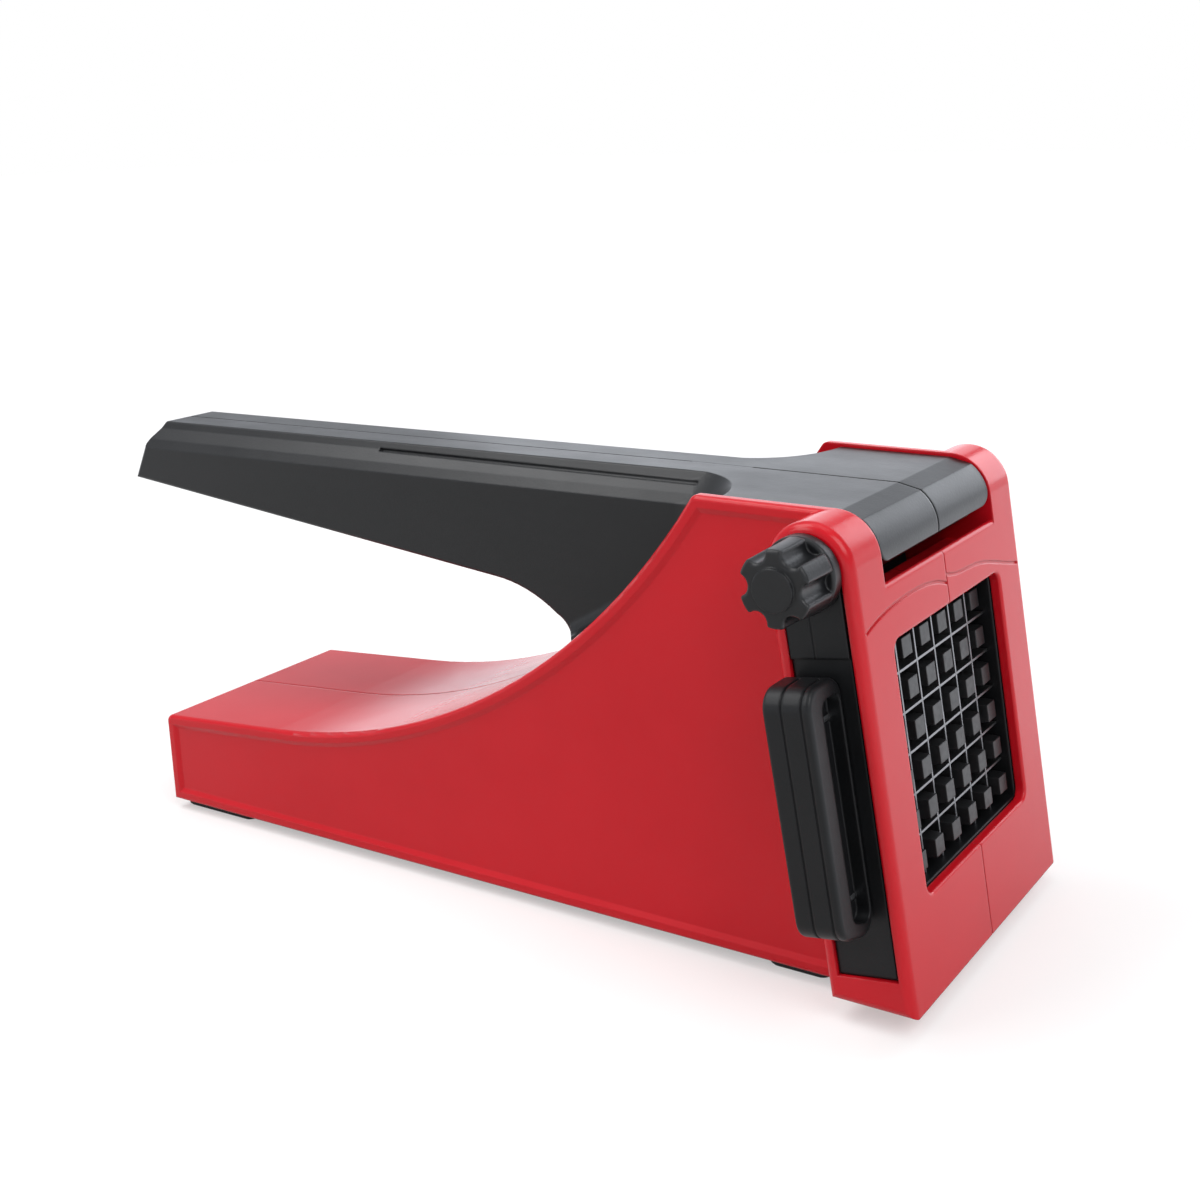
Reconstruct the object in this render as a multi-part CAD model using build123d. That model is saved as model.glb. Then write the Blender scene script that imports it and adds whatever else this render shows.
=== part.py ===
from build123d import *
import os
from math import atan2, cos, degrees, hypot, radians, sin, sqrt, tan

# A lever french fry cutter.  Millimetres.  +X runs from the lever's free end to the
# fry window, +Z is up and -Y is the knob's side, called right.  Everything is laid out
# from the foot of the window's front face; the last step moves the origin to the
# middle of the whole cutter's footprint, at the height of the surface it stands on.

# ---------------------------------------------------------------- driving sizes
# body
lean_deg = 8.1              # the window block leans back by this much
block_width = 91.4          # window block, across
block_depth = 22.0          # window block, front to back
block_bottom = 5.2          # its underside, above the table
panel_width = 68.6          # outside of the two side panels
panel_bottom = 3.0          # underside of the side panels, above the table
wall = 3.0                  # moulded wall
body_length = 259.5         # front face to the rear wall, at the bottom
rear_lean = 1.5             # the rear wall's top stands this much further forward
rear_height = 31.1          # rear end of the shelf
shelf_flat = 48.0           # straight run of the shelf, from the rear
shelf_rise = 3.6            # and how far it climbs there
apex_reach = 62.4           # where the side panels reach their full height
apex_round = 2.2
chamber_reach = 118.0       # where the shelf ends and the potato chamber begins
ramp_angle_deg = 222.0      # where the chamber's round floor turns into its ramp
rim_width = 4.2             # raised rim round each side panel, with its slope
rim_height = 0.8
rim_slope = 1.4             # run of the slope inside the rim
rim_round = 1.2
seam_half = 0.2             # shallow groove where two halves meet
seam_depth = 0.3
ledge_round = 1.15          # front edge of the trough
jamb_round = 0.8            # front edge of the window
edge_round = 2.5            # outer edges of the window block
running_gap = 0.4           # between the lever and the ears it turns between
seat_gap = 0.15             # round a piece that sits in another
clamp_gap = 0.05            # between faces that are screwed together

# pivot
pivot_up = 106.2            # up the front face
axle_radius = 3.0
axle_fit = 0.05             # radial, in the bushes
axle_play = 0.1             # radial, elsewhere
trough_radius = 11.6        # hollow under the lever's hood
head_recess_radius = 7.6
head_recess_depth = 6.0
bolt_head_flats = 10.0
bolt_head_height = 4.0
washer_radius = 6.4
washer_thickness = 1.0

# window and blades
cells = 6                   # each way
cell_pitch = 10.0
cell_low = 25.2             # lowest cell edge, up the front face
window_margin = 0.8         # window beyond the outer cells
window_round = 3.0
blade_front = 5.6           # blades' front edges behind the front face
blade_depth = 7.0
blade_thickness = 0.6
blade_tail = 2.0            # length held in the frame at each end
notch_play = 0.06

# blade cartridge
frame_front = 3.0           # cartridge frame's front behind the front face
frame_bar = 4.6             # height of its top and bottom bars
frame_side_bar = 2.6
retainer_thickness = 1.2
slot_gap = 0.2              # round the cartridge in the block
plate_thickness = 2.1       # end plate on the right of the block
plate_width = 14.8
plate_bottom = 10.0         # up the front face
plate_step_up = 86.5        # strap above here, thinner plate below
plate_step = 0.7
plate_line = 12.2           # moulding line along the strap, behind the front face
plate_line_width = 0.5
plate_line_depth = 0.25
strap_radius = 7.4
channel_gap = 0.3
grip_low = 21.0
grip_high = 83.5
grip_slope = 5.0            # its lower end rises by this much towards the bar
grip_width = 12.1
grip_reach = 14.0           # beyond the block's side
grip_bar = 5.4              # thickness of its outer bar
grip_arm = 3.8              # thickness of its ends
grip_flange = 1.4
grip_edge = 1.1
grip_web = 5.0
grip_round = 5.0
grip_hollow_round = 2.6
grip_deep = 13.05           # centre of the grip behind the front face
grip_lines = (9.2, 14.2)    # moulding lines round it, behind the front face
grip_line_width = 0.6
grip_line_depth = 0.4

# lever
lever_half_width = 15.0
lever_wall = 2.5
lever_top_rear = (-271.0, 117.0)
lever_end_mid = (-274.2, 112.5)
lever_tip = (-281.6, 99.6)
under_end = (-140.0, 85.0)
under_turn = ((-129.5, 82.6), (-119.5, 77.0), (-116.3, 74.2))
web_rear = (-115.2, 70.5)
web_foot_up = 28.0
crown_half = 9.0            # half width of the raised crown
valley = (10.0, 1.9)        # from the middle, below the crown
ridge = (13.2, 4.9)
flank_drop = 7.3            # top of the lever's sides below the crown
crown_round = 0.7
ridge_round = 1.6
groove_radius = 0.6
groove_rear = (-182.0, 10.0, 2.3)   # along the body, from the middle, below the crown
groove_front = (-76.0, 10.8, 2.6)
lever_round = 1.2           # along its lower edges
wing_fairing = 4.0          # round between the web and the wings
hood_radius = 10.7
hood_lip = 1.0              # the hood ends this far below the pivot
hood_facet_deg = 34.0       # from its top to where its round begins
hood_corner = 4.0           # its lip's corners, from the front
hood_edge = 0.4             # round along the hood's ends
lever_seam_half = 0.3       # groove where the lever's halves meet on the head and hood
lever_seam_depth = 0.5
lever_seam_reach = 66.0     # how far back it is seen
head_start = 80.0           # the lever starts to flare to the full width
wing_slope_deg = 29.0
wing_top_rear = (-115.0, 71.4)
wing_corner_reach = 102.5
hub_radius = 6.8
bush_radius = 4.8
bush_length = 10.0
bush_flange = 1.0

# pusher
pusher_front = 14.3         # plate's face behind the front face
pusher_plate = 3.4
pusher_margin = 0.2         # inside the outer cells
pin_width = 6.5             # at the root
pin_height = 6.4
pin_tip_deep = 4.35         # pin ends behind the front face, on average
pin_tip_step = 0.34         # each row down reaches this much further forward
pin_taper_deg = 5.2
chamber_gap = 2.4           # under the pusher's foot as it swings

# knob
knob_radius = 9.0
knob_length = 13.6
knob_skirt = 3.2
knob_lobes = 6
knob_taper_deg = 1.6
lobe_round = 0.8
knob_edge = 0.8
flute_radius = 2.3
flute_out = 0.1             # centre of a flute beyond the lobes
knob_boss_radius = 4.9
knob_boss_height = 0.8
knob_floor = 2.6            # plastic left beyond the insert
axle_short = 3.0            # the axle ends this far inside the knob's face
insert_radius = 4.2
insert_length = 9.0

# screws, base and feet
screw_radius = 1.45
screw_head_radius = 2.8
screw_head_height = 2.0
screw_hole = 1.5
screw_clear = 1.7
counterbore = 3.2
boss_radius = 4.6
screw_seat = 8.0            # plastic under each screw head
screw_bite = 10.0           # length in the far half
face_groove_near = ((0.0, 91.2), (7.0, 93.3), (15.0, 94.2), (25.0, 94.2), (34.0, 93.4), (43.0, 91.4))
face_groove_far = ((0.0, 93.5), (6.0, 92.1), (14.0, 91.6), (21.0, 90.8), (30.0, 88.6), (43.0, 85.1))
face_groove_width = 0.7
face_groove_depth = 0.35
rear_screws = ((13.5, 17.0), (69.5, 17.0))      # ahead of the rear wall, height
front_screws = ((134.0, 19.0), (66.0, 15.0))    # behind the front face, height
block_screw_up = 10.5
lever_screw_spots = ((-254.0, 107.0), (-200.0, 104.0), (-146.0, 99.0), (-96.0, 82.0), (-44.0, 62.0))
base_thickness = 2.5
base_gap = 0.2
base_screw_rear = 37.5      # ahead of the rear wall
base_screw_front = 84.0     # behind the front face
base_screw_offset = 20.0    # from the centre plane
base_screw_bite = 8.0
hole_end_gap = 1.0          # beyond a screw's point
base_post_radius = 4.2
foot_rear_inset = 15.5      # rear wall to the foot's centre
foot_rear_length = 29.0
foot_front_reach = 39.0     # front face to the foot's centre
foot_front_length = 17.6
foot_width = 12.0
foot_offset = 25.0          # centre plane to foot centre
foot_plug = 1.2             # how far its plug stands in the base
foot_ledge = 3.0            # pad round the plug
foot_round = 3.0
grip_screw_radius = 1.2
grip_screw_deep = 11.6      # behind the front face
grip_screw_inset = 10.0     # from the grip's ends
grip_screw_bite = 7.0
retainer_screw_radius = 0.9

# ---------------------------------------------------------------- derived places
lean = radians(lean_deg)
block_half = block_width / 2
panel_half = panel_width / 2
panel_inner = panel_half - wall
ear_inner = panel_inner
ear_radius = block_depth / 2
grid_size = cells * cell_pitch
grid_mid = cell_low + grid_size / 2
grid_top = cell_low + grid_size
window_half = grid_size / 2 + window_margin
blade_rear = blade_front + blade_depth
frame_rear = blade_rear + retainer_thickness + 0.1
frame_low = cell_low - frame_bar
frame_high = grid_top + frame_bar
plate_outer = block_half - 0.2
plate_inner = plate_outer - plate_thickness
lever_full = ear_inner - running_gap


def face_point(up, deep):
    """X and Z of a place up the leaning front face and behind it."""
    return (-up * sin(lean) - deep * cos(lean), block_bottom + up * cos(lean) - deep * sin(lean))


pivot_x, pivot_z = face_point(pivot_up, ear_radius)
body_top = pivot_z + ear_radius
block_foot = block_depth / cos(lean)
body_screw_spots = tuple((-body_length + inset, height) for inset, height in rear_screws)
body_screw_spots += tuple((-reach, height) for reach, height in front_screws)
base_screw_spots = ((-body_length + base_screw_rear, base_screw_offset), (-base_screw_front, base_screw_offset))
foot_rear = (-body_length + foot_rear_inset, foot_rear_length)
foot_front = (-foot_front_reach, foot_front_length)
ledge_up = pivot_up - sqrt(trough_radius ** 2 - ear_radius ** 2)
hood_top = (pivot_x, pivot_z + hood_radius)
face_plane = Plane(origin=(0, 0, block_bottom), x_dir=(0, 1, 0), z_dir=(cos(lean), 0, sin(lean)))


def pivot_point(radius, angle_deg):
    """X and Z at a distance and a direction from the lever's pivot."""
    return (pivot_x + radius * cos(radians(angle_deg)), pivot_z + radius * sin(radians(angle_deg)))


# shelf: a straight run from the rear, then a tangent arc up to the apex
shelf_rear = (-body_length + rear_lean, rear_height)
shelf_knee = (shelf_rear[0] + shelf_flat, rear_height + shelf_rise)
apex = (-apex_reach, body_top)
climb = atan2(shelf_rise, shelf_flat)
chord = (apex[0] - shelf_knee[0], apex[1] - shelf_knee[1])
shelf_radius = hypot(*chord) ** 2 / (2 * (chord[1] * cos(climb) - chord[0] * sin(climb)))
shelf_centre = (shelf_knee[0] - shelf_radius * sin(climb), shelf_knee[1] + shelf_radius * cos(climb))


def shelf_height(x):
    """Height of the curved shelf at X, ahead of its straight run."""
    return shelf_centre[1] - sqrt(shelf_radius ** 2 - (x - shelf_centre[0]) ** 2)


def lever_top(x):
    """Height of the lever's crown at X."""
    slope = (hood_top[1] - lever_top_rear[1]) / (hood_top[0] - lever_top_rear[0])
    return lever_top_rear[1] + slope * (x - lever_top_rear[0])


def wing_top(x):
    """Height of the lever's two side wings at X."""
    return wing_top_rear[1] + tan(radians(wing_slope_deg)) * (x - wing_top_rear[0])


# ---------------------------------------------------------------- helpers
def prism(outline, y_from, y_to):
    """An X-Z outline carried along Y."""
    return extrude(Plane.XZ.offset(-y_to) * outline, amount=y_to - y_from)


def rod(x, z, radius, y_from, y_to):
    """A round bar along Y."""
    return prism(Pos(x, z) * Circle(radius), y_from, y_to)


def face_rect(up_from, up_to, deep_from, deep_to):
    """An X-Z rectangle that leans with the front face."""
    return make_face(Polyline(face_point(up_from, deep_from), face_point(up_to, deep_from),
                              face_point(up_to, deep_to), face_point(up_from, deep_to), close=True))


def face_box(y_from, y_to, up_from, up_to, deep_from, deep_to):
    """A box that leans with the front face."""
    return prism(face_rect(up_from, up_to, deep_from, deep_to), y_from, y_to)


def into_face(sketch, deep_from, deep_to):
    """A sketch drawn on the front face (Y across, up), carried into it."""
    return extrude(face_plane.offset(-deep_from) * sketch, amount=deep_from - deep_to)


def upright(sketch, z_from, z_to):
    """An X-Y outline carried along Z."""
    return extrude(Plane.XY.offset(z_from) * sketch, amount=z_to - z_from)


def on_face(item):
    """True for an edge or face that lies in the front face."""
    place = item.center()
    return abs(place.X * cos(lean) + (place.Z - block_bottom) * sin(lean)) < 0.01


def up_face(item):
    """How far up the front face something is."""
    place = item.center()
    return (place.Z - block_bottom) * cos(lean) - place.X * sin(lean)


def mirrored(shape):
    """The same shape on the other side of the centre plane."""
    return mirror(shape, about=Plane.XZ)


# ---------------------------------------------------------------- body outlines
def panel_outline():
    mid_angle = (atan2(shelf_knee[1] - shelf_centre[1], shelf_knee[0] - shelf_centre[0])
                 + atan2(apex[1] - shelf_centre[1], apex[0] - shelf_centre[0])) / 2
    mid = (shelf_centre[0] + shelf_radius * cos(mid_angle), shelf_centre[1] + shelf_radius * sin(mid_angle))
    in_block = face_point(block_screw_up, ear_radius)
    outline = make_face([
        Line((-body_length, panel_bottom), shelf_rear),
        Line(shelf_rear, shelf_knee),
        ThreePointArc(shelf_knee, mid, apex),
        Line(apex, (pivot_x, body_top)),
        Line((pivot_x, body_top), in_block),
        Line(in_block, (-block_foot, in_block[1])),
        Line((-block_foot, in_block[1]), (-block_foot, panel_bottom)),
        Line((-block_foot, panel_bottom), (-body_length, panel_bottom)),
    ])
    corners = outline.vertices().filter_by(lambda v: v.X < -apex_reach + 1 and v.Y > panel_bottom + 1)
    corners = corners.filter_by(lambda v: abs(v.X - shelf_knee[0]) > 1)
    return fillet(corners, apex_round)


def block_outline(inset=0.0):
    """The window block from the side: straight faces and a round top about the pivot."""
    rear = block_depth - inset
    radius = ear_radius - inset
    foot_up = inset / cos(lean)
    return make_face([
        Line(face_point(foot_up + inset * tan(lean), inset), face_point(pivot_up, inset)),
        ThreePointArc(face_point(pivot_up, inset), face_point(pivot_up + radius, ear_radius),
                      face_point(pivot_up, rear)),
        Line(face_point(pivot_up, rear), face_point(foot_up + rear * tan(lean), rear)),
        Line(face_point(foot_up + rear * tan(lean), rear), face_point(foot_up + inset * tan(lean), inset)),
    ])


def chamber_outline():
    """Free space between the side panels: round floor about the pivot, then a ramp."""
    foot = pivot_up - cell_low - pusher_margin
    floor_radius = hypot(foot, pusher_front + pusher_plate - ear_radius) + chamber_gap
    start_deep = frame_rear + slot_gap
    start = face_point(pivot_up - sqrt(floor_radius ** 2 - (start_deep - ear_radius) ** 2), start_deep)
    turn = pivot_point(floor_radius, ramp_angle_deg)
    mid = pivot_point(floor_radius, (ramp_angle_deg + 265.0) / 2)
    shelf_end = (-chamber_reach, shelf_height(-chamber_reach))
    above = body_top + 20
    return make_face([
        ThreePointArc(start, mid, turn),
        Line(turn, shelf_end),
        Line(shelf_end, (-chamber_reach, above)),
        Line((-chamber_reach, above), face_point(pivot_up + 2 * ear_radius, start_deep)),
        Line(face_point(pivot_up + 2 * ear_radius, start_deep), start),
    ])


def channel_outline():
    """Recess for the cartridge's end plate, round about the axle at its top."""
    half = plate_width / 2 + channel_gap
    low = plate_bottom - channel_gap
    strap = Pos(pivot_x, pivot_z) * Circle(strap_radius + channel_gap)
    return face_rect(low, pivot_up, min(ear_radius - half, frame_front - slot_gap), ear_radius + half) + strap


# ---------------------------------------------------------------- body
def side_screw_holes(spots, clear_side, half_width):
    """Holes along Y for clamshell screws: clear and counterbored, or blind."""
    if clear_side:
        return [rod(x, z, screw_clear, -half_width - 1, 1) for x, z in spots] + \
               [rod(x, z, counterbore, -half_width - 1, -screw_seat) for x, z in spots]
    return [rod(x, z, screw_hole, -screw_bite - hole_end_gap, 1) for x, z in spots]


def body_half(knob_side):
    """One moulded half of the body, as it is on the right of the centre plane."""
    panel = prism(panel_outline(), -panel_half, 0)
    rim = panel.faces().sort_by(Axis.Y)[0].edges().filter_by(lambda e: e.center().X < pivot_x)
    panel = fillet(rim, rim_round)
    block = prism(block_outline(), -block_half, 0)
    block_side = block.faces().sort_by(Axis.Y)[0]
    block = fillet(block_side.edges(), edge_round)
    field = Plane.XZ.offset(panel_half - rim_height) * offset(panel_outline(), -rim_width)
    recess = extrude(field, amount=rim_height, taper=-degrees(atan2(rim_slope, rim_height)))
    recess -= prism(block_outline(), -block_half, 0)
    inside = offset(panel_outline(), -wall)
    opening = make_face(Polyline((-body_length + wall, panel_bottom - 1), (-body_length + wall, panel_bottom + 2 * wall),
                                 (-block_foot, panel_bottom + 2 * wall), (-block_foot, panel_bottom - 1), close=True))
    chamber = chamber_outline()
    hollow = inside + opening - offset(chamber, wall) - block_outline()
    shell = panel - recess - prism(hollow, -panel_inner, 0)
    spots = body_screw_spots + (face_point(block_screw_up, ear_radius),)
    post_top = body_top
    for x, z in body_screw_spots:
        shell += rod(x, z, boss_radius, -panel_inner, 0)
    for x, y in base_screw_spots:
        post = upright(Pos(x, -y) * Circle(base_post_radius), panel_bottom + base_thickness + base_gap / 2, post_top)
        shell += post & prism(inside, -panel_inner, 0)
    shell -= prism(chamber, -panel_inner, 0)
    cavity = block_outline(wall) & face_rect(-block_depth, frame_low - slot_gap - wall, -1, block_depth + 1)
    block -= prism(cavity, -block_half + wall, 0)
    block += rod(*face_point(block_screw_up, ear_radius), boss_radius, -block_half + wall, 0)
    block -= prism(chamber, -panel_inner, 0)
    shell += block
    shell -= rod(pivot_x, pivot_z, trough_radius, -ear_inner, 0)
    over_hub = Pos(pivot_x - trough_radius / 2, pivot_z + trough_radius / 2) * Rectangle(trough_radius, trough_radius)
    shell -= prism(over_hub, -ear_inner, 0)
    ledge = shell.edges().filter_by(lambda e: on_face(e) and abs(up_face(e) - ledge_up) < 0.1)
    shell = fillet(ledge.filter_by(Axis.Y), ledge_round)
    shell -= rod(pivot_x, pivot_z, axle_radius + axle_play, -block_half - 1, 0)
    window = Pos(0, grid_mid) * RectangleRounded(2 * window_half, 2 * window_half, window_round)
    shell -= into_face(window, -1, frame_front)
    jamb = shell.edges().filter_by(lambda e: on_face(e) and abs(up_face(e) - grid_mid) < window_half + 0.1)
    shell = fillet(jamb.filter_by(lambda e: -window_half - 0.1 < e.center().Y < -0.1), jamb_round)
    line = face_groove_near if knob_side else face_groove_far
    groove = Spline(*[(-across, up) for across, up in line])
    shell -= into_face(trace(groove, face_groove_width), -1, face_groove_depth)
    seams = (panel_outline() - offset(panel_outline(), -seam_depth)) + (block_outline() - block_outline(seam_depth))
    seams += offset(chamber, seam_depth) + Pos(pivot_x, pivot_z) * Circle(trough_radius + seam_depth)
    shell -= prism(seams, -seam_half, 0)
    slot = (frame_low - slot_gap, frame_high + slot_gap, frame_front - slot_gap, frame_rear + slot_gap)
    if knob_side:
        shell -= face_box(-block_half - 1, 0, *slot)
        shell -= prism(channel_outline(), -block_half - 1, -plate_inner + seat_gap)
    else:
        far_end = grid_size / 2 + frame_side_bar + slot_gap
        shell -= face_box(-far_end, 0, *slot)
        shell -= rod(pivot_x, pivot_z, head_recess_radius, -block_half - 1, -block_half + head_recess_depth)
    for hole in side_screw_holes(spots[:-1], not knob_side, panel_half):
        shell -= hole
    for hole in side_screw_holes(spots[-1:], not knob_side, block_half):
        shell -= hole
    for x, y in base_screw_spots:
        shell -= upright(Pos(x, -y) * Circle(screw_hole), panel_bottom,
                         panel_bottom + base_thickness + base_screw_bite + hole_end_gap)
    return shell


def screw(length, radius=screw_radius, head_radius=screw_head_radius, head_height=screw_head_height):
    """A pan-head screw whose head seat is at the origin, shank along -Z."""
    shank = Pos(0, 0, -length) * Cylinder(radius, length, align=(Align.CENTER, Align.CENTER, Align.MIN))
    head = Cylinder(head_radius, head_height, align=(Align.CENTER, Align.CENTER, Align.MIN))
    head = fillet(head.edges().group_by(Axis.Z)[-1], head_height * 0.35)
    slots = Box(head_radius * 1.2, 0.6, 1.0) + Box(0.6, head_radius * 1.2, 1.0)
    return head + shank - Pos(0, 0, head_height) * slots


def side_screws(spots):
    """Clamshell screws along Y, put in from the left."""
    length = screw_seat + screw_bite
    return [Pos(x, screw_seat + clamp_gap, z) * Rot(-90, 0, 0) * screw(length) for x, z in spots]


def base_cover():
    front = -block_foot - base_gap
    rear = -body_length + wall + base_gap
    plate = Pos((front + rear) / 2, 0) * RectangleRounded(front - rear, 2 * (panel_inner - base_gap), 1.0)
    cover = upright(plate, panel_bottom, panel_bottom + base_thickness)
    for x, y in base_screw_spots:
        for side in (-1, 1):
            cover -= upright(Pos(x, side * y) * Circle(screw_clear), panel_bottom - 1, panel_bottom + base_thickness + 1)
            cover -= upright(Pos(x, side * y) * Circle(counterbore), panel_bottom - 1,
                             panel_bottom + screw_head_height / 2)
    for centre, length in (foot_rear, foot_front):
        for side in (-1, 1):
            cover -= upright(foot_outline(centre, length, side, base_gap - foot_ledge), panel_bottom - 1,
                             panel_bottom + foot_plug + clamp_gap)
    return cover


def base_screws():
    length = base_thickness - screw_head_height / 2 + base_screw_bite
    one = Rot(180, 0, 0) * screw(length, head_height=0.45 * screw_head_height)
    return [Pos(x, side * y, panel_bottom + screw_head_height / 2) * one for x, y in base_screw_spots for side in (-1, 1)]


def foot_outline(centre, length, side, grow=0.0):
    """A foot from above, grown or shrunk all round."""
    rounding = foot_round + grow if grow > -foot_round else 0.5
    return Pos(centre, side * foot_offset) * RectangleRounded(length + 2 * grow, foot_width + 2 * grow, rounding)


def foot(place, side):
    """A rubber pad under the base, with a plug that stands in it."""
    centre, length = place
    pad = upright(foot_outline(centre, length, side), 0, panel_bottom - clamp_gap)
    pad = chamfer(pad.edges().group_by(Axis.Z)[0], 0.6)
    return pad + upright(foot_outline(centre, length, side, -foot_ledge), 1.0, panel_bottom + foot_plug)


# ---------------------------------------------------------------- pivot
def pivot_axle():
    seat = block_half - head_recess_depth + washer_thickness + 2 * clamp_gap
    end = knob_back() + knob_length - axle_short
    shaft = rod(pivot_x, pivot_z, axle_radius, -end, seat)
    shaft = chamfer(shaft.edges().group_by(Axis.Y)[0], 0.6)
    head = Pos(pivot_x, pivot_z) * RegularPolygon(bolt_head_flats / 2, 6, major_radius=False)
    return shaft + prism(head, seat, seat + bolt_head_height)


def axle_washer():
    low = block_half - head_recess_depth + clamp_gap
    ring = Circle(washer_radius) - Circle(axle_radius + axle_play)
    return prism(Pos(pivot_x, pivot_z) * ring, low, low + washer_thickness)


def knob_washer():
    ring = Circle(washer_radius) - Circle(axle_radius + axle_play)
    back = knob_back()
    return prism(Pos(pivot_x, pivot_z) * ring, -back + clamp_gap, -back + clamp_gap + washer_thickness)


def knob_back():
    """How far from the centre plane the knob's back face is."""
    return plate_outer + washer_thickness + 2 * clamp_gap


def knob():
    back = knob_back()
    front = back + knob_length
    skirt = rod(pivot_x, pivot_z, knob_radius, -back - knob_skirt, -back)
    body = Circle(knob_radius)
    spread = knob_radius + flute_out
    for flute in range(knob_lobes):
        angle = 360.0 * flute / knob_lobes
        body -= Pos(spread * cos(radians(angle)), spread * sin(radians(angle))) * Circle(flute_radius)
    body = fillet(body.vertices(), lobe_round)
    root = Plane.XZ.offset(back + knob_skirt - 0.1) * Pos(pivot_x, pivot_z) * body
    lobes = extrude(root, amount=knob_length - knob_skirt + 0.1, taper=knob_taper_deg)
    lobes = fillet(lobes.faces().sort_by(Axis.Y)[0].edges(), knob_edge)
    skirt = fillet(skirt.edges().group_by(Axis.Y)[0], 0.8)
    shape = skirt + lobes + rod(pivot_x, pivot_z, knob_boss_radius, -front - knob_boss_height, -front + 0.1)
    shape -= rod(pivot_x, pivot_z, insert_radius, -back - insert_length, -back + 1)
    return shape - rod(pivot_x, pivot_z, axle_radius + axle_play, -back - insert_length - knob_floor, -back)


def knob_insert():
    back = knob_back()
    sleeve = Circle(insert_radius) - Circle(axle_radius + axle_fit)
    return prism(Pos(pivot_x, pivot_z) * sleeve, -back - insert_length, -back)


# ---------------------------------------------------------------- blade cartridge
def cell_edges():
    """Places of the blades between the cells, from one outer cell edge."""
    return [cell_pitch * step for step in range(1, cells)]


def vertical_blade(offset_from_edge):
    y = -grid_size / 2 + offset_from_edge
    half = blade_thickness / 2
    blade = face_box(y - half, y + half, cell_low - blade_tail, grid_top + blade_tail, blade_front, blade_rear)
    for other in cell_edges():
        up = cell_low + other
        cut = half + notch_play
        blade -= face_box(y - 1, y + 1, up - cut, up + cut, blade_front + blade_depth / 2 - notch_play, blade_rear + 1)
    return blade


def horizontal_blade(offset_from_edge):
    up = cell_low + offset_from_edge
    half = blade_thickness / 2
    reach = grid_size / 2 + blade_tail
    blade = face_box(-reach, reach, up - half, up + half, blade_front, blade_rear)
    for other in cell_edges():
        y = -grid_size / 2 + other
        cut = half + notch_play
        blade -= face_box(y - cut, y + cut, up - 1, up + 1, blade_front - 1, blade_front + blade_depth / 2 + notch_play)
    return blade


def frame_corners():
    y = grid_size / 2 + frame_side_bar - 1.3
    low = frame_low + 1.6
    high = frame_high - 1.6
    return [(side * y, up) for side in (-1, 1) for up in (low, high)]


def end_plate():
    """Strap round the axle, and the thinner plate below it."""
    strap = Pos(pivot_x, pivot_z) * Circle(strap_radius)
    half = plate_width / 2
    whole = face_rect(plate_bottom, pivot_up, ear_radius - half, ear_radius + half) + strap
    plate = prism(whole, -plate_outer, -plate_inner)
    plate -= face_box(-plate_outer - 1, -plate_outer + plate_step, plate_bottom - 1, plate_step_up,
                      ear_radius - half - 1, ear_radius + half + 1)
    plate -= face_box(-plate_outer - 1, -plate_outer + plate_line_depth, plate_step_up, pivot_up,
                      plate_line - plate_line_width / 2, plate_line + plate_line_width / 2)
    return plate - rod(pivot_x, pivot_z, axle_radius + axle_play, -plate_outer - 1, -plate_inner + 1)


def cartridge_frame():
    reach = grid_size / 2 + frame_side_bar
    frame = face_box(-plate_inner, reach, frame_low, frame_high, frame_front, blade_rear + 0.1)
    half = grid_size / 2 + 0.2
    frame -= into_face(Pos(0, grid_mid) * Rectangle(2 * half, 2 * half), frame_front - 1, frame_rear)
    frame += face_box(-plate_inner, -plate_inner + wall, frame_low, frame_high, frame_front, frame_rear)
    pocket_near = -plate_inner + wall
    frame -= face_box(pocket_near, -reach, frame_low + wall, frame_high - wall, frame_front - 1, frame_rear)
    slot_half = blade_thickness / 2 + notch_play
    long = grid_size / 2 + blade_tail + 0.1
    for other in cell_edges():
        y = -grid_size / 2 + other
        up = cell_low + other
        frame -= face_box(y - slot_half, y + slot_half, grid_mid - long, grid_mid + long, blade_front - 0.1, frame_rear)
        frame -= face_box(-long, long, up - slot_half, up + slot_half, blade_front - 0.1, frame_rear)
    for y, up in frame_corners():
        frame -= into_face(Pos(y, up) * Circle(retainer_screw_radius + 0.05), frame_front + 2, frame_rear)
    frame += end_plate()
    for up in grip_screw_ups():
        frame -= rod(*face_point(up, grip_screw_deep), grip_screw_radius + 0.1, -plate_outer - 1, pocket_near + 1)
    return frame


def blade_retainer():
    reach = grid_size / 2 + frame_side_bar
    outer = Pos(0, grid_mid) * Rectangle(2 * reach, frame_high - frame_low)
    half = grid_size / 2 + 0.2
    ring = outer - Pos(0, grid_mid) * Rectangle(2 * half, 2 * half)
    retainer = into_face(ring, frame_rear - retainer_thickness, frame_rear)
    for y, up in frame_corners():
        retainer -= into_face(Pos(y, up) * Circle(retainer_screw_radius + 0.1), frame_front, frame_rear + 1)
        retainer -= countersunk_head(y, up, 0.1)
    return retainer


def countersunk_head(y, up, grow=0.0):
    """The cone of a small screw, flush with the retainer."""
    low = retainer_screw_radius + grow
    cone = Cone(low, low + 0.35, 0.7, align=(Align.CENTER, Align.CENTER, Align.MIN))
    return face_plane.offset(-frame_rear + 0.7) * Pos(y, up) * Rot(180, 0, 0) * cone


def retainer_screws():
    screws = []
    for y, up in frame_corners():
        shank = into_face(Pos(y, up) * Circle(retainer_screw_radius), frame_front + 3, frame_rear - 0.6)
        screws.append(shank + countersunk_head(y, up))
    return screws


def grip_screw_ups():
    return (grip_low + grip_screw_inset, grip_high - grip_screw_inset)


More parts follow.
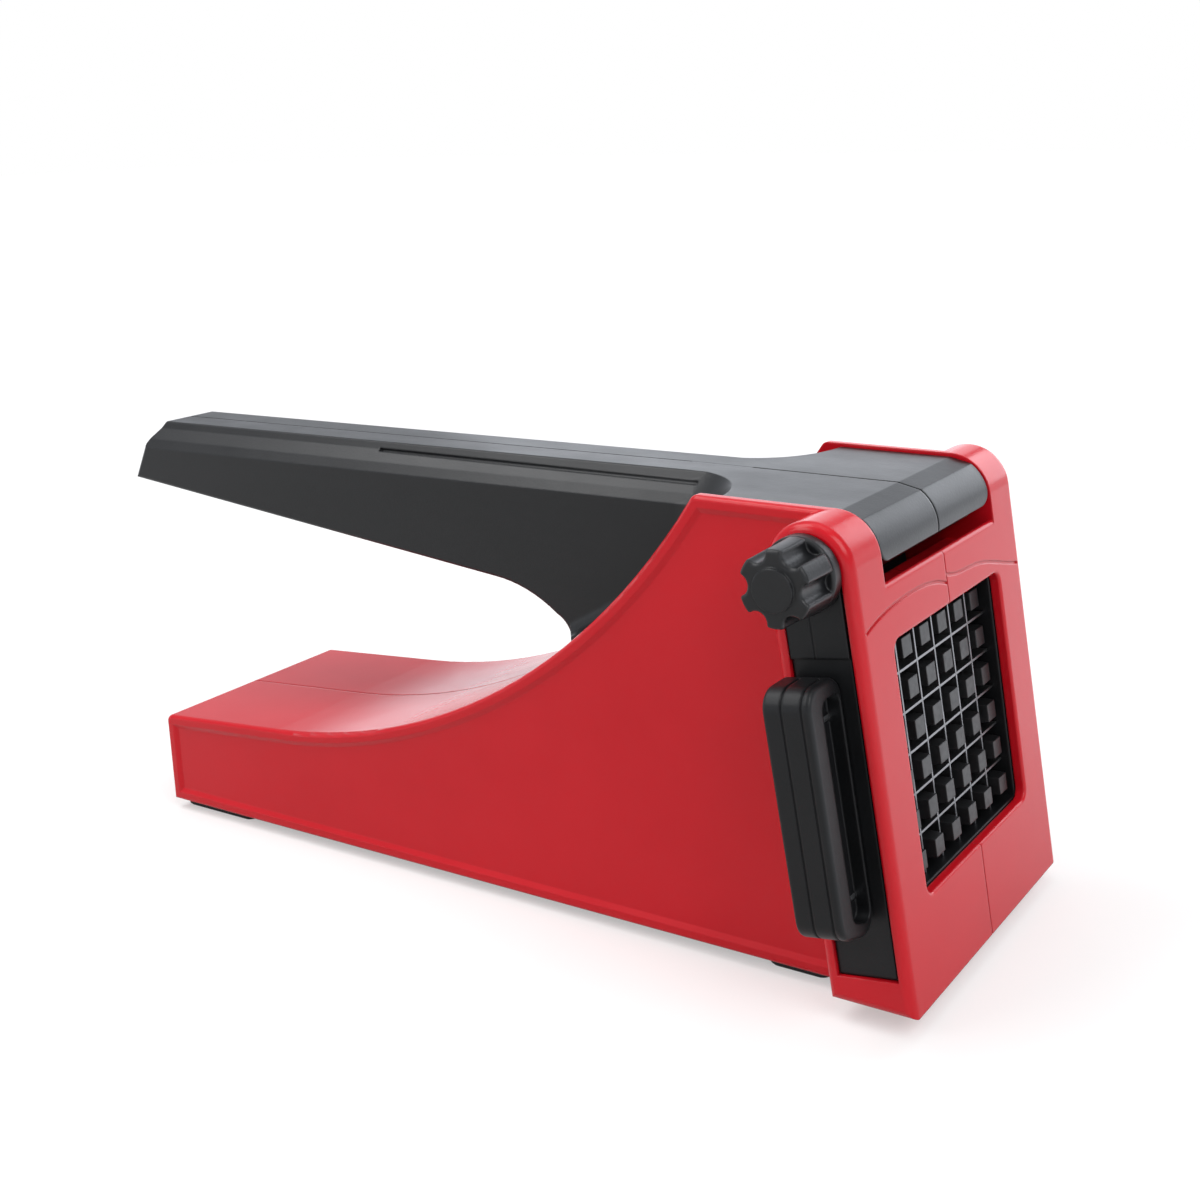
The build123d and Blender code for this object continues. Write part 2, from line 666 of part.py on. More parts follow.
def grip_outline(base):
    """The grip from the front, standing on a base plane this far from the middle."""
    tip = block_half + grip_reach
    outline = make_face(Polyline((-base, grip_low), (-tip, grip_low + grip_slope), (-tip, grip_high),
                                 (-base, grip_high), close=True))
    return fillet(outline.vertices(), grip_round)


def grip_hollow(base):
    """The room for two fingers, from the front."""
    tip = block_half + grip_reach - grip_bar
    low = grip_low + grip_arm
    rise = grip_slope * (tip - base) / (block_half + grip_reach - base)
    outline = make_face(Polyline((-base - grip_flange, low), (-tip, low + rise), (-tip, grip_high - grip_arm),
                                 (-base - grip_flange, grip_high - grip_arm), close=True))
    return fillet(outline.vertices(), grip_hollow_round)


def pull_grip():
    """A grip with a hollow on each side of a thin web, for two fingers."""
    base = plate_outer - plate_step + clamp_gap
    front = grip_deep - grip_width / 2
    outer = into_face(grip_outline(base), front, front + grip_width)
    rims = outer.edges().filter_by(lambda e: e.center().Y < -base - 0.1)
    outer = fillet(rims.filter_by(lambda e: abs(e.length - grip_width) > 0.1), grip_edge)
    outer -= into_face(grip_hollow(base), front - 1, grip_deep - grip_web / 2)
    outer -= into_face(grip_hollow(base), grip_deep + grip_web / 2, front + grip_width + 1)
    ring = (grip_outline(base) - offset(grip_outline(base), -grip_line_depth)) & Pos(-base - grip_reach, 0) * Rectangle(
        2 * (grip_reach - grip_round), 4 * grip_high)
    for place in grip_lines:
        outer -= into_face(ring, place - grip_line_width / 2, place + grip_line_width / 2)
    outer -= face_box(-block_half - clamp_gap, -base + 1, 0, pivot_up, ear_radius + plate_width / 2, block_depth)
    for up in grip_screw_ups():
        outer -= rod(*face_point(up, grip_screw_deep), grip_screw_radius + 0.05,
                     -base - grip_screw_bite - hole_end_gap, -base + 1)
    return outer


def grip_screws():
    length = grip_screw_bite + plate_thickness - plate_step + wall
    one = screw(length, grip_screw_radius, 2.0, 1.4)
    screws = []
    for up in grip_screw_ups():
        x, z = face_point(up, grip_screw_deep)
        screws.append(Pos(x, -plate_inner + wall + clamp_gap, z) * Rot(-90, 0, 0) * one)
    return screws


# ---------------------------------------------------------------- lever
def lever_section():
    """Cross-section of the lever: raised crown, sloping shoulders, upright sides."""
    deep = -2 * body_top
    right = [(-lever_half_width, deep), (-lever_half_width, -flank_drop), (-ridge[0], -ridge[1]),
             (-valley[0], -valley[1]), (-crown_half, 0)]
    left = [(-across, height) for across, height in reversed(right)]
    outline = make_face(Polyline(*right, *left, close=True))
    corners = outline.vertices()
    outline = fillet(corners.filter_by(lambda v: abs(abs(v.X) - ridge[0]) < 0.01), ridge_round)
    corners = outline.vertices()
    return fillet(corners.filter_by(lambda v: abs(abs(v.X) - crown_half) < 0.01), crown_round)


def lever_core():
    """The hollow in the lever's cross-section."""
    deep = -2 * body_top
    side = lever_half_width - lever_wall
    shoulder = crown_half - lever_wall / 2
    return make_face(Polyline((-side, deep), (-side, -flank_drop - lever_wall / 2), (-shoulder, -1.3 * lever_wall),
                              (0, -lever_wall), (shoulder, -1.3 * lever_wall),
                              (side, -flank_drop - lever_wall / 2), (side, deep), close=True))


def along_crown(sketch, start, length):
    """A section carried rearwards along the lever's crown."""
    run = (lever_top_rear[0] - hood_top[0], lever_top_rear[1] - hood_top[1])
    size = hypot(*run)
    way = (run[0] / size, 0, run[1] / size)
    origin = (hood_top[0] + way[0] * start, 0, hood_top[1] + way[2] * start)
    return extrude(Plane(origin=origin, x_dir=(0, -1, 0), z_dir=way) * sketch, amount=length)


def lever_side():
    """The lever and its web from the side, up to the pivot."""
    foot = face_point(web_foot_up, pusher_front + pusher_plate + clamp_gap)
    neck = face_point(pivot_up - trough_radius + 1, pusher_front + pusher_plate + clamp_gap)
    return make_face([
        Line(lever_tip, under_end),
        ThreePointArc(under_end, under_turn[0], under_turn[1]),
        ThreePointArc(under_turn[1], under_turn[2], web_rear),
        Line(web_rear, foot),
        Line(foot, neck),
        Line(neck, (pivot_x, pivot_z)),
        Line((pivot_x, pivot_z), hood_top),
        Line(hood_top, lever_top_rear),
        Line(lever_top_rear, lever_end_mid),
        Line(lever_end_mid, lever_tip),
    ])


def head_plan(beyond=0.0):
    """The lever's head from above: a flare to the full width between the ears."""
    flare = lever_full - lever_half_width
    bend = (-head_start + flare * sin(radians(45)), -lever_full + flare * cos(radians(45)))
    rear = -head_start - 4 - beyond
    front = pivot_x + hood_radius + 1 + beyond
    side = -lever_full - 1 - beyond
    return make_face([
        Line((rear, beyond), (rear, -lever_half_width)),
        Line((rear, -lever_half_width), (-head_start, -lever_half_width)),
        ThreePointArc((-head_start, -lever_half_width), bend, (-head_start + flare, -lever_full)),
        Line((-head_start + flare, -lever_full), (-head_start + flare, side)),
        Line((-head_start + flare, side), (front, side)),
        Line((front, side), (front, beyond)),
        Line((front, beyond), (rear, beyond)),
    ])


def head_block():
    """The outside of the head: bevelled along the flare like the lever's shoulders."""
    across, drop = valley
    level = lever_top(-head_start) - flank_drop
    slope = degrees(atan2(lever_half_width - across + 0.1, flank_drop - drop))
    low = pivot_z - 3 * hood_radius
    block = upright(head_plan(), low, level)
    block += extrude(Plane.XY.offset(level) * head_plan(10), amount=flank_drop, taper=slope)
    rear = -head_start - 4
    side = make_face(Polyline((rear, low), (rear, lever_top(rear)), hood_top,
                              (pivot_x + hood_radius, hood_top[1]), (pivot_x + hood_radius, low), close=True))
    return block & prism(side, -lever_full, 0)


def head_skin():
    """The head's skin over the crown and the bevel of its flare."""
    rear = -head_start - 4
    over = make_face(Polyline((rear, lever_top(rear) + 1), (pivot_x, hood_top[1] + 1), (pivot_x, pivot_z),
                              (rear, lever_top(rear) - flank_drop - lever_wall), close=True))
    block = head_block()
    return (block - Pos(0, 0, -1.3 * lever_wall) * block) & prism(over, -lever_full, 0)


def hood_band():
    """The hood from the side, from the crown down to its front lip."""
    top = Pos(pivot_x - lever_wall / 2, hood_top[1] - lever_wall / 2) * Rectangle(lever_wall, lever_wall)
    ring = Pos(pivot_x, pivot_z) * (Circle(hood_radius) - Circle(hood_radius - lever_wall))
    quarter = Pos(pivot_x + hood_radius, pivot_z + hood_radius - hood_lip) * Rectangle(2 * hood_radius, 2 * hood_radius)
    return top + (ring & quarter)


def above_head():
    """Free space over the head's flat top and the facet before the hood's round."""
    level = lever_top(-head_start)
    facet = pivot_point(hood_radius, 90.0 - hood_facet_deg)
    front = pivot_x + 2 * hood_radius
    return make_face(Polyline((-head_start, level), (pivot_x, level), facet, (front, facet[1]), (front, level + wall),
                              (-head_start, level + wall), close=True))


def on_hood_end(edge):
    """True for an edge along the outside of the hood's end."""
    place = edge @ 0.5
    out = abs(hypot(place.X - pivot_x, place.Z - pivot_z) - hood_radius) < 0.01
    return out and place.X > pivot_x and abs(place.Y + lever_full) < 0.01


def hood_corner_cut():
    """What the rounded corner of the hood's lip leaves away, from the front."""
    out = hood_corner - lever_full
    up = pivot_z - hood_lip + hood_corner
    square = Pos(out - hood_corner, up - hood_corner) * Rectangle(2 * hood_corner, 2 * hood_corner)
    corner = square - Pos(out, up) * Circle(hood_corner)
    return extrude(Plane.YZ.offset(pivot_x + hood_radius / 2) * corner, amount=hood_radius)


def wing_reach():
    """X where the wings run into the head's underside."""
    return pivot_x - hub_radius - 3


def head_space():
    """Between the wings and the crown, from the side."""
    rear = -head_start
    front = wing_reach()
    return make_face(Polyline((rear, wing_top(rear) - 1), (rear, lever_top(rear) - 3),
                              (front, lever_top(front) - 1), (front, min(wing_top(front) - 1, lever_top(front) - 2)),
                              close=True))


def wing_fillet():
    """A hollow round between the web's side and the wing's top."""
    out = lever_half_width
    size = wing_fairing
    hollow = (out + size * (1 - cos(radians(45))), -size * (1 - sin(radians(45))))
    section = make_face([
        Line((out - 0.5, 0.5), (out - 0.5, -size)),
        Line((out - 0.5, -size), (out, -size)),
        ThreePointArc((out, -size), hollow, (out + size, 0)),
        Line((out + size, 0), (out + size, 0.5)),
        Line((out + size, 0.5), (out - 0.5, 0.5)),
    ])
    slope = radians(wing_slope_deg)
    plane = Plane(origin=(wing_top_rear[0], 0, wing_top_rear[1]), x_dir=(0, -1, 0), z_dir=(cos(slope), 0, sin(slope)))
    return extrude(plane * section, amount=(wing_reach() - wing_top_rear[0]) / cos(slope))


def lever_half(clear_side):
    """One moulded half of the lever, as it is on the right of the centre plane."""
    side = lever_side()
    section = lever_section()
    run = -lever_tip[0] + 2 * hood_radius
    outer = prism(side, -lever_half_width, 0) & along_crown(section, -2 * hood_radius, run)
    flank = outer.faces().sort_by(Axis.Y)[0].edges()
    low = flank.filter_by(lambda e: e.center().Z < lever_top(e.center().X) - flank_drop - 0.5)
    outer = fillet(low.filter_by(lambda e: e.center().X < web_rear[0] + 0.5), lever_round)
    inner = prism(offset(side, -lever_wall), -lever_half_width + lever_wall, 0)
    inner = inner & along_crown(lever_core(), -2 * hood_radius, run)
    shell = outer - inner - prism(side - offset(side, -seam_depth), -seam_half, 0)
    for x, z in lever_screw_spots:
        shell += rod(x, z, boss_radius - 0.6, -lever_half_width + 1, 0) & outer
    block = head_block()
    shell += head_skin()
    hood = prism(hood_band() - above_head(), -lever_full, 0) - hood_corner_cut()
    shell += hood & block
    shell = fillet(shell.edges().filter_by(on_hood_end), hood_edge)
    thick = lever_wall
    wing = make_face(Polyline(wing_top_rear, (wing_reach(), wing_top(wing_reach())),
                              (wing_reach(), wing_top(wing_reach()) - 1.2 * thick),
                              (wing_top_rear[0], wing_top_rear[1] - 1.2 * thick), close=True))
    wing_plan = make_face(Polyline((wing_top_rear[0], -lever_half_width + 1), (wing_top_rear[0], -lever_half_width),
                                   (-wing_corner_reach, -lever_full), (wing_reach(), -lever_full),
                                   (wing_reach(), -lever_half_width + 1), close=True))
    below_crown = make_face(Polyline((wing_top_rear[0] - 1, 0), (wing_top_rear[0] - 1, lever_top(wing_top_rear[0]) - 3),
                                     (pivot_x, hood_top[1] - 1), (pivot_x, 0), close=True))
    shell += prism(wing & below_crown, -lever_full, 0) & upright(wing_plan, 0, body_top)
    shell += wing_fillet() & upright(wing_plan, 0, body_top) & prism(below_crown, -lever_full, 0)
    flare = lever_full - lever_half_width
    bend = Pos(-head_start, -lever_full) * (Circle(flare + thick) - Circle(flare))
    bend &= Pos(-head_start + flare / 2 + thick / 2, -lever_full + flare / 2 + thick / 2) * Rectangle(
        flare + thick, flare + thick)
    cheek = Pos((-head_start + flare + wing_reach()) / 2, -lever_full + thick / 2) * Rectangle(
        wing_reach() + head_start - flare, thick)
    shell += upright(bend + cheek, 0, body_top) & prism(head_space(), -lever_full, 0) & block
    hub_end = ear_inner - running_gap / 2 - bush_flange
    shell += rod(pivot_x, pivot_z, hub_radius, -hub_end, 0)
    cap = Pos(pivot_x, pivot_z) * Circle(hood_radius - 1)
    cap &= Pos(pivot_x, pivot_z + hood_radius) * Rectangle(2 * hood_radius, 2 * hood_radius)
    shell += prism(cap, -hub_end, -hub_end + thick)
    shell -= rod(pivot_x, pivot_z, axle_radius + 3 * axle_play, -lever_full, 0)
    shell -= rod(pivot_x, pivot_z, bush_radius, -lever_full, -hub_end + bush_length - bush_flange)
    ends = [Vector(x, -across, lever_top(x) - drop) for x, across, drop in (groove_rear, groove_front)]
    groove = Plane(origin=ends[0], z_dir=ends[1] - ends[0]) * Circle(groove_radius)
    shell -= extrude(groove, amount=(ends[1] - ends[0]).length) + Pos(*ends[1]) * Sphere(groove_radius)
    shell -= prism(above_head(), -lever_full, 0)
    outline = side + Pos(pivot_x, pivot_z) * Circle(hood_radius) - above_head()
    seam = (outline - offset(outline, -lever_seam_depth)) & Pos(0, body_top) * Rectangle(2 * lever_seam_reach, body_top)
    shell -= prism(seam, -lever_seam_half, 0)
    for hole in side_screw_holes(lever_screw_spots, clear_side, lever_half_width):
        shell -= hole
    for y, up in pusher_screw_spots():
        if y < 0:
            shell -= into_face(Pos(y, up) * Circle(screw_clear), pusher_front, pusher_front + pusher_plate + 6)
    return shell


def pivot_bush():
    """A flanged sleeve in the end of the lever's hub."""
    face = ear_inner - running_gap / 2
    bore = axle_radius + axle_fit
    sleeve = prism(Pos(pivot_x, pivot_z) * (Circle(bush_radius) - Circle(bore)), -face, -face + bush_length)
    flange = prism(Pos(pivot_x, pivot_z) * (Circle(hub_radius) - Circle(bore)), -face, -face + bush_flange)
    return sleeve + flange


# ---------------------------------------------------------------- pusher
def pusher_screw_spots():
    half = cell_pitch / 2
    return [(side * half, grid_mid + end * 1.5 * cell_pitch) for side in (-1, 1) for end in (-1, 1)]


def pusher():
    """A plate with a tapered pin for every cell."""
    half = grid_size / 2 - pusher_margin
    plate = into_face(Pos(0, grid_mid) * Rectangle(2 * half, 2 * half), pusher_front, pusher_front + pusher_plate)
    for row in range(cells):
        tip = pin_tip_deep + pin_tip_step * (row - (cells - 1) / 2)
        one = extrude(Rectangle(pin_width, pin_height), amount=pusher_front - tip, taper=pin_taper_deg)
        for column in range(cells):
            spot = Pos((column + 0.5) * cell_pitch - grid_size / 2, cell_low + (row + 0.5) * cell_pitch)
            plate += face_plane.offset(-pusher_front) * spot * one
    for y, up in pusher_screw_spots():
        plate -= into_face(Pos(y, up) * Circle(screw_hole), pusher_front - 6, pusher_front + pusher_plate + 1)
    return plate


def pusher_screws():
    seat = pusher_front + pusher_plate + clamp_gap + lever_wall
    length = lever_wall + pusher_plate + 5.0
    placed = []
    for y, up in pusher_screw_spots():
        placed.append(face_plane.offset(-seat) * Pos(y, up) * Rot(180, 0, 0) * screw(length))
    return placed


# ---------------------------------------------------------------- the nodes
def build_nodes():
    nodes = {
        "body_shell_right": [body_half(True)],
        "body_shell_left": [mirrored(body_half(False))],
        "base_cover": [base_cover()],
        "body_screws": side_screws(body_screw_spots + (face_point(block_screw_up, ear_radius),)),
        "base_screws": base_screws(),
        "pivot_axle": [pivot_axle()],
        "axle_washer": [axle_washer()],
        "lever_shell_right": [lever_half(False)],
        "lever_shell_left": [mirrored(lever_half(True))],
        "lever_screws": side_screws(lever_screw_spots),
        "pivot_bush_right": [pivot_bush()],
        "pivot_bush_left": [mirrored(pivot_bush())],
        "pusher": [pusher()],
        "pusher_screws": pusher_screws(),
        "cartridge_frame": [cartridge_frame()],
        "blade_retainer": [blade_retainer()],
        "retainer_screws": retainer_screws(),
        "pull_grip": [pull_grip()],
        "grip_screws": grip_screws(),
        "knob_washer": [knob_washer()],
        "knob": [knob()],
        "knob_insert": [knob_insert()],
    }
    for name, place in (("rear", foot_rear), ("front", foot_front)):
        nodes[f"foot_{name}_right"] = [foot(place, -1)]
        nodes[f"foot_{name}_left"] = [foot(place, 1)]
    for number, place in enumerate(cell_edges(), start=1):
        nodes[f"vertical_blade_{number}"] = [vertical_blade(place)]
        nodes[f"horizontal_blade_{number}"] = [horizontal_blade(place)]
    return nodes


centre_x = lever_tip[0] / 2
knob_end = knob_back() + knob_length + knob_boss_height
centre_y = (block_half - knob_end) / 2

os.makedirs("parts", exist_ok=True)
for node, shapes in build_nodes().items():
    solids = [solid for shape in shapes for solid in (Pos(-centre_x, -centre_y, 0) * shape).solids()]
    export_step(Compound(children=solids) if len(solids) > 1 else solids[0], f"parts/{node}.step")
print(f"origin shift {-centre_x:.3f} {-centre_y:.3f}; pivot {pivot_x - centre_x:.4f} {pivot_z:.4f}")
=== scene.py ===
import math

import bpy
from mathutils import Matrix, Vector

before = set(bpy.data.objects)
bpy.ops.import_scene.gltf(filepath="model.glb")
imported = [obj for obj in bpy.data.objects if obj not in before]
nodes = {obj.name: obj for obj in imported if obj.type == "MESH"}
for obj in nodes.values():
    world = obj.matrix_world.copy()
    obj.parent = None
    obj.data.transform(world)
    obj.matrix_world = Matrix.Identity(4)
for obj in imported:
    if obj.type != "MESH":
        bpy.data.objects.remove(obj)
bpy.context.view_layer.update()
scene = bpy.context.scene


# ---------------------------------------------------------------- node helpers

WHITE = (1.0, 1.0, 1.0)


class Nodes:
    """Short calls for building a node tree."""

    def __init__(self, tree):
        self.tree = tree

    def node(self, kind, **settings):
        made = self.tree.nodes.new(kind)
        for key, value in settings.items():
            setattr(made, key, value)
        return made

    def link(self, source, target):
        self.tree.links.new(source, target)

    def remap(self, value, low, high, start=0.0, end=1.0, kind="LINEAR"):
        """A value from start to end mapped to low..high, where low and high may be outputs."""
        made = self.node("ShaderNodeMapRange", interpolation_type=kind)
        made.inputs["From Min"].default_value = start
        made.inputs["From Max"].default_value = end
        for name, given in (("To Min", low), ("To Max", high)):
            if isinstance(given, bpy.types.NodeSocket):
                self.link(given, made.inputs[name])
            else:
                made.inputs[name].default_value = given
        self.link(value, made.inputs["Value"])
        return made.outputs["Result"]

    def math(self, operation, first, second):
        made = self.node("ShaderNodeMath", operation=operation)
        self.link(first, made.inputs[0])
        self.link(second, made.inputs[1])
        return made.outputs[0]

    def tinted(self, rays, colour):
        """White to every ray but a glossy one, which gets the colour."""
        made = self.node("ShaderNodeMix", data_type="RGBA")
        made.inputs["A"].default_value = (*WHITE, 1.0)
        made.inputs["B"].default_value = (*colour, 1.0)
        self.link(rays.outputs["Is Glossy Ray"], made.inputs["Factor"])
        return made.outputs["Result"]


class Surface(Nodes):
    """One material with a Principled shader, textured in object coordinates (metres)."""

    def __init__(self, name):
        self.material = bpy.data.materials.new(name)
        self.material.use_nodes = True
        super().__init__(self.material.node_tree)
        self.shader = self.tree.nodes["Principled BSDF"]
        self.coords = self.tree.nodes.new("ShaderNodeTexCoord")

    def set(self, name, value):
        self.shader.inputs[name].default_value = value

    def feed(self, name, output):
        self.link(output, self.shader.inputs[name])

    def noise(self, scale, detail=3.0, rough=0.5, stretch=(1, 1, 1)):
        mapping = self.node("ShaderNodeMapping")
        mapping.inputs["Scale"].default_value = stretch
        self.link(self.coords.outputs["Object"], mapping.inputs["Vector"])
        made = self.node("ShaderNodeTexNoise")
        made.inputs["Scale"].default_value = scale
        made.inputs["Detail"].default_value = detail
        made.inputs["Roughness"].default_value = rough
        self.link(mapping.outputs["Vector"], made.inputs["Vector"])
        return made.outputs["Fac"]

    def colour(self, noise, dark, light):
        """Base colour that drifts between two tones."""
        made = self.node("ShaderNodeValToRGB")
        for element, place, tone in zip(made.color_ramp.elements, (0.3, 0.7), (dark, light)):
            element.position = place
            element.color = (*tone, 1.0)
        self.link(noise, made.inputs["Fac"])
        self.feed("Base Color", made.outputs["Color"])

    def roughness(self, noise, low, high):
        self.feed("Roughness", self.remap(noise, low, high, start=0.25, end=0.75))

    def relief(self, noise, height, edge):
        """Fine relief over edges that catch light as if rounded to a radius."""
        rounded = self.node("ShaderNodeBevel", samples=6)
        rounded.inputs["Radius"].default_value = edge
        made = self.node("ShaderNodeBump")
        made.inputs["Strength"].default_value = 1.0
        made.inputs["Distance"].default_value = height
        self.link(noise, made.inputs["Height"])
        self.link(rounded.outputs["Normal"], made.inputs["Normal"])
        self.feed("Normal", made.outputs["Normal"])


# ---------------------------------------------------------------- materials

def gloss_red():
    g = Surface("red_gloss_plastic")
    g.colour(g.noise(22.0, 4.0, 0.55), dark=(0.58, 0.006, 0.014), light=(0.62, 0.008, 0.017))
    g.roughness(g.noise(90.0, 5.0, 0.6), 0.16, 0.24)
    g.set("IOR", 1.36)
    g.relief(g.noise(420.0, 2.0, 0.4), height=0.00002, edge=0.0006)
    return g.material


def satin_black(name, index, low, high):
    """Black plastic with flow marks along the part, between two roughnesses."""
    g = Surface(name)
    flow = g.noise(30.0, 5.0, 0.6, stretch=(0.35, 1.0, 1.4))
    g.colour(flow, dark=(0.0055, 0.0058, 0.0066), light=(0.0090, 0.0094, 0.0105))
    g.roughness(g.noise(60.0, 6.0, 0.65, stretch=(0.5, 1.0, 1.0)), low, high)
    g.set("IOR", index)
    g.relief(g.noise(1500.0, 3.0, 0.6), height=0.00003, edge=0.0007)
    return g.material


def moulded_black():
    g = Surface("grey_moulded_plastic")
    g.colour(g.noise(300.0, 4.0, 0.6), dark=(0.006, 0.0062, 0.0070), light=(0.010, 0.0103, 0.0112))
    g.roughness(g.noise(700.0), 0.32, 0.48)
    g.relief(g.noise(1800.0, 3.0), height=0.00002, edge=0.0004)
    return g.material


def metal(name, colour, rough, grain, stretch=(1, 1, 1)):
    """Bare metal, whose grain runs where the stretch is smallest."""
    g = Surface(name)
    g.set("Metallic", 1.0)
    g.colour(g.noise(400.0, 4.0, 0.6, stretch), dark=tuple(c * 0.86 for c in colour), light=colour)
    g.roughness(g.noise(900.0, 4.0, 0.6, stretch), rough * 0.8, rough * 1.25)
    g.relief(g.noise(grain, 3.0, 0.6, stretch), height=0.00001, edge=0.00012)
    return g.material


def soft_rubber():
    g = Surface("foot_rubber")
    g.colour(g.noise(500.0, 4.0), dark=(0.012, 0.012, 0.012), light=(0.024, 0.024, 0.025))
    g.roughness(g.noise(900.0), 0.65, 0.85)
    g.relief(g.noise(1600.0, 4.0, 0.7), height=0.00006, edge=0.0005)
    return g.material


def natural_nylon():
    g = Surface("natural_nylon")
    g.colour(g.noise(200.0, 4.0), dark=(0.62, 0.60, 0.53), light=(0.70, 0.68, 0.62))
    g.roughness(g.noise(600.0), 0.35, 0.5)
    g.set("Subsurface Weight", 0.1)
    g.set("Subsurface Radius", (0.002, 0.002, 0.0015))
    g.relief(g.noise(1500.0), height=0.00002, edge=0.0003)
    return g.material


finish = {
    "red_plastic": gloss_red(),
    "black_plastic": satin_black("black_satin_plastic", index=1.42, low=0.26, high=0.38),
    "grey_plastic": moulded_black(),
    "blade_steel": metal("blade_steel", (0.25, 0.25, 0.26), 0.36, grain=2500.0, stretch=(1, 1, 8)),
    "zinc_steel": metal("zinc_steel", (0.60, 0.61, 0.63), 0.32, grain=1500.0),
    "nylon": natural_nylon(),
    "foot_rubber": soft_rubber(),
    "brass_insert": metal("brass_insert", (0.75, 0.56, 0.26), 0.3, grain=1500.0),
}
dull_black = satin_black("black_dull_plastic", index=1.35, low=0.32, high=0.44)
dull_nodes = ("cartridge_frame", "pull_grip")
for name, node in nodes.items():
    for place in node.material_slots:
        slot = place.material.name.split(".")[0]
        place.material = dull_black if name in dull_nodes else finish[slot]


# ---------------------------------------------------------------- floor

floor_reach = 6.0
floor_grey = 0.58
camera_fade = {"low": 0.42, "high": 0.95, "start": 0.5, "end": 2.2}  # by distance from the part
mirror_fade = {"low": 0.0, "high": 0.95, "start": 0.60, "end": 1.0}  # by distance from dark_side
dark_side = (-0.35, -0.55, 0.0)
floor_tint = (0.94, 0.98, 1.06)


def floor_material():
    """A pale floor that fades to white for the camera, and away from the dark side in mirrors."""
    g = Surface("pale_floor")
    g.set("Base Color", (floor_grey, floor_grey, floor_grey, 1.0))
    g.set("Roughness", 0.9)
    g.set("Specular IOR Level", 0.0)
    rays = g.node("ShaderNodeLightPath")
    place = g.node("ShaderNodeNewGeometry")
    away = g.node("ShaderNodeVectorMath", operation="LENGTH")
    g.link(place.outputs["Position"], away.inputs[0])
    side = g.node("ShaderNodeVectorMath", operation="DISTANCE")
    side.inputs[1].default_value = dark_side
    g.link(place.outputs["Position"], side.inputs[0])
    seen = []
    for ray, distance, fade in (("Is Camera Ray", away, camera_fade), ("Is Glossy Ray", side, mirror_fade),
                                ("Is Transmission Ray", away, camera_fade)):
        level = g.remap(distance.outputs["Value"], kind="SMOOTHSTEP", **fade)
        seen.append(g.math("MULTIPLY", rays.outputs[ray], level))
    glow = g.node("ShaderNodeEmission")
    g.link(g.tinted(rays, floor_tint), glow.inputs["Color"])
    strength = g.math("MAXIMUM", g.math("MAXIMUM", seen[0], seen[1]), seen[2])
    g.link(strength, glow.inputs["Strength"])
    both = g.node("ShaderNodeAddShader")
    g.link(g.shader.outputs[0], both.inputs[0])
    g.link(glow.outputs[0], both.inputs[1])
    g.link(both.outputs[0], g.tree.nodes["Material Output"].inputs["Surface"])
    return g.material


corners = [(x * floor_reach, y * floor_reach, 0) for x, y in ((-1, -1), (1, -1), (1, 1), (-1, 1))]
floor_mesh = bpy.data.meshes.new("studio_floor")
floor_mesh.from_pydata(corners, [], [(0, 1, 2, 3)])
floor = bpy.data.objects.new("studio_floor", floor_mesh)
scene.collection.objects.link(floor)
floor_mesh.materials.append(floor_material())


# ---------------------------------------------------------------- world

world_light = 0.45            # on the object
horizon, zenith = 1.6, 0.58   # in reflections
sweep_start, sweep_end = 0.02, 0.22  # height of the direction where one turns into the other
world_tint = (0.94, 0.98, 1.05)

world = bpy.data.worlds.new("studio_world")
scene.world = world
world.use_nodes = True
w = Nodes(world.node_tree)
background = w.tree.nodes["Background"]
rays = w.node("ShaderNodeLightPath")
seen = w.math("MAXIMUM", w.math("MAXIMUM", rays.outputs["Is Camera Ray"], rays.outputs["Is Glossy Ray"]),
              rays.outputs["Is Transmission Ray"])
level = w.remap(seen, world_light, 1.0)
apart = w.node("ShaderNodeSeparateXYZ")
w.link(w.node("ShaderNodeTexCoord").outputs["Generated"], apart.inputs[0])
sweep = w.remap(apart.outputs["Z"], horizon, zenith, start=sweep_start, end=sweep_end, kind="SMOOTHSTEP")
w.link(w.remap(rays.outputs["Is Glossy Ray"], level, sweep), background.inputs["Strength"])
w.link(w.tinted(rays, world_tint), background.inputs["Color"])


# ---------------------------------------------------------------- lamps

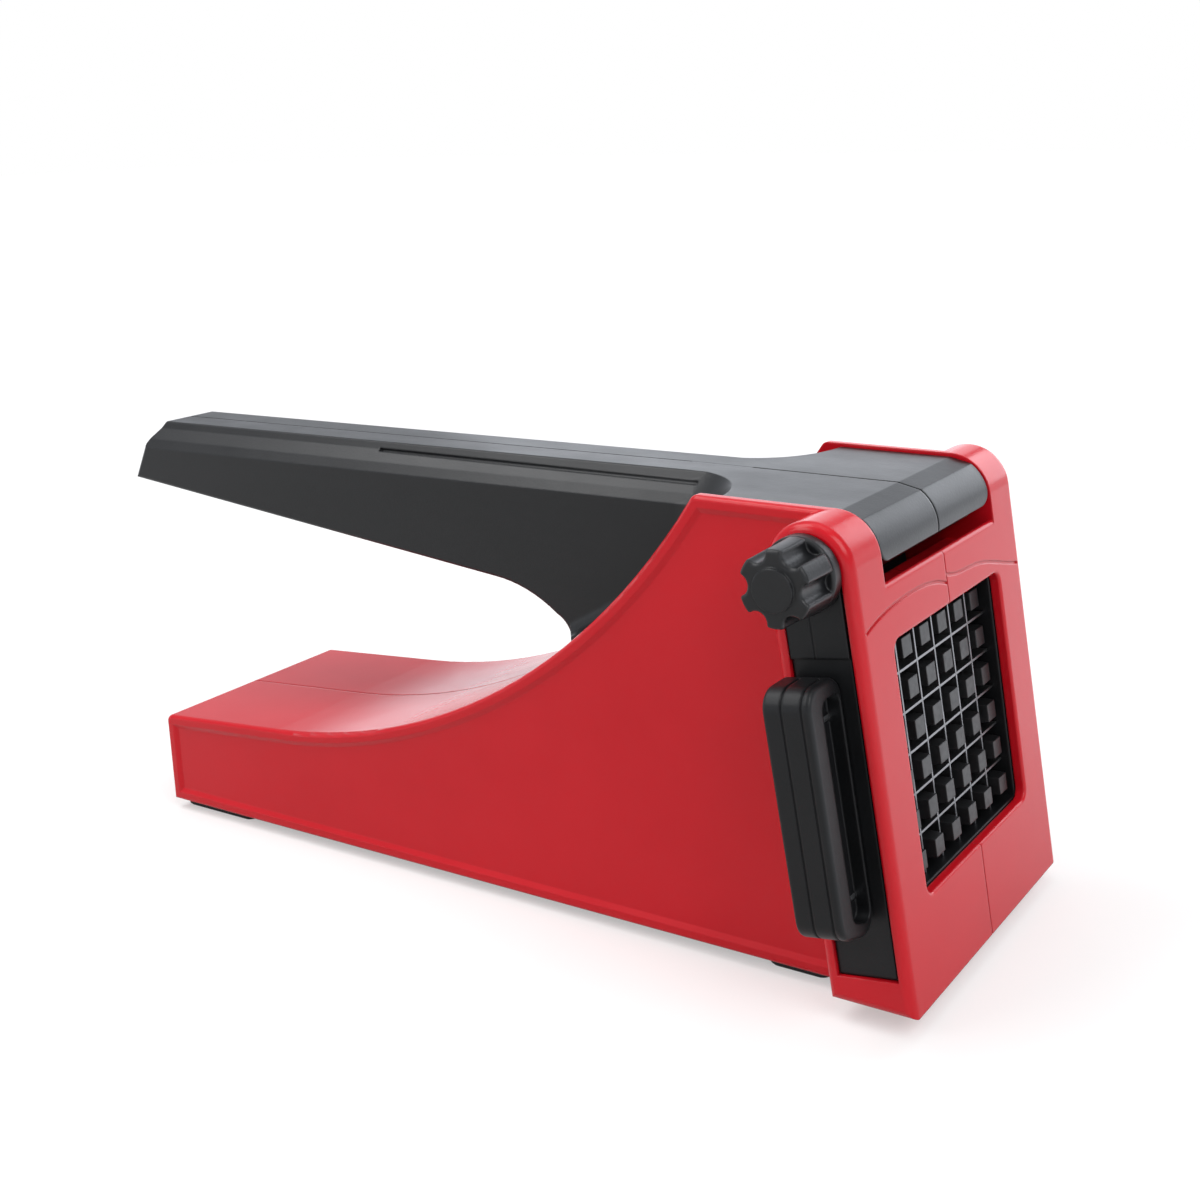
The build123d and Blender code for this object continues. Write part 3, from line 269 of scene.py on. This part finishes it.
def lamp(name, place, aim, size, power, colour=WHITE):
    data = bpy.data.lights.new(name, "AREA")
    data.shape = "RECTANGLE"
    data.size, data.size_y = size
    data.energy = power
    data.color = colour
    made = bpy.data.objects.new(name, data)
    made.location = place
    made.rotation_euler = (Vector(aim) - Vector(place)).to_track_quat("-Z", "Y").to_euler()
    made.visible_camera = False
    scene.collection.objects.link(made)


cool = (0.94, 0.98, 1.05)
lamp("key", (0.95, -0.35, 1.0), (0, 0, 0.05), (0.8, 0.8), 8.0)
lamp("overhead", (-0.67, -0.26, 1.2), (-0.05, 0, 0.1), (0.7, 0.7), 6.0)
lamp("top", (-0.1, 0.15, 1.6), (-0.1, 0.149, 0), (1.0, 1.0), 4.0)
lamp("left_front", (-0.67, -0.86, 0.85), (-0.05, 0, 0.1), (0.55, 0.55), 3.6)
lamp("back_right", (0.36, 1.21, 0.51), (0.12, 0, 0.11), (0.70, 0.70), 5.0, cool)
lamp("back_left", (-0.58, 1.24, 0.52), (0.05, 0, 0.11), (0.84, 0.56), 1.35, cool)


# ---------------------------------------------------------------- camera

photo_px = 1200
sensor_mm = 36.0
focal_px, centre_px = 1576.503, (776.717, 568.583)
turn, rise, roll = 0.5263619770, 0.2850285582, -0.0261601716
camera_place = (0.27346, -0.32361, 0.20554)

camera_data = bpy.data.cameras.new("camera")
camera = bpy.data.objects.new("camera", camera_data)
scene.collection.objects.link(camera)
scene.camera = camera
camera_data.sensor_fit = "HORIZONTAL"
camera_data.sensor_width = sensor_mm
camera_data.lens = focal_px / photo_px * sensor_mm
camera_data.shift_x = (photo_px / 2 - centre_px[0]) / photo_px
camera_data.shift_y = (centre_px[1] - photo_px / 2) / photo_px
camera_data.clip_start = 0.02
camera_data.clip_end = 20
back = Vector((math.sin(turn) * math.cos(rise), -math.cos(turn) * math.cos(rise), math.sin(rise)))
right = Vector((0, 0, 1)).cross(back).normalized()
up = back.cross(right)
axis_x = math.cos(roll) * right + math.sin(roll) * up
axis_y = -math.sin(roll) * right + math.cos(roll) * up
pose = Matrix((axis_x, axis_y, back)).transposed().to_4x4()
pose.translation = camera_place
camera.matrix_world = pose

scene.view_settings.view_transform = "Standard"

bpy.context.view_layer.update()
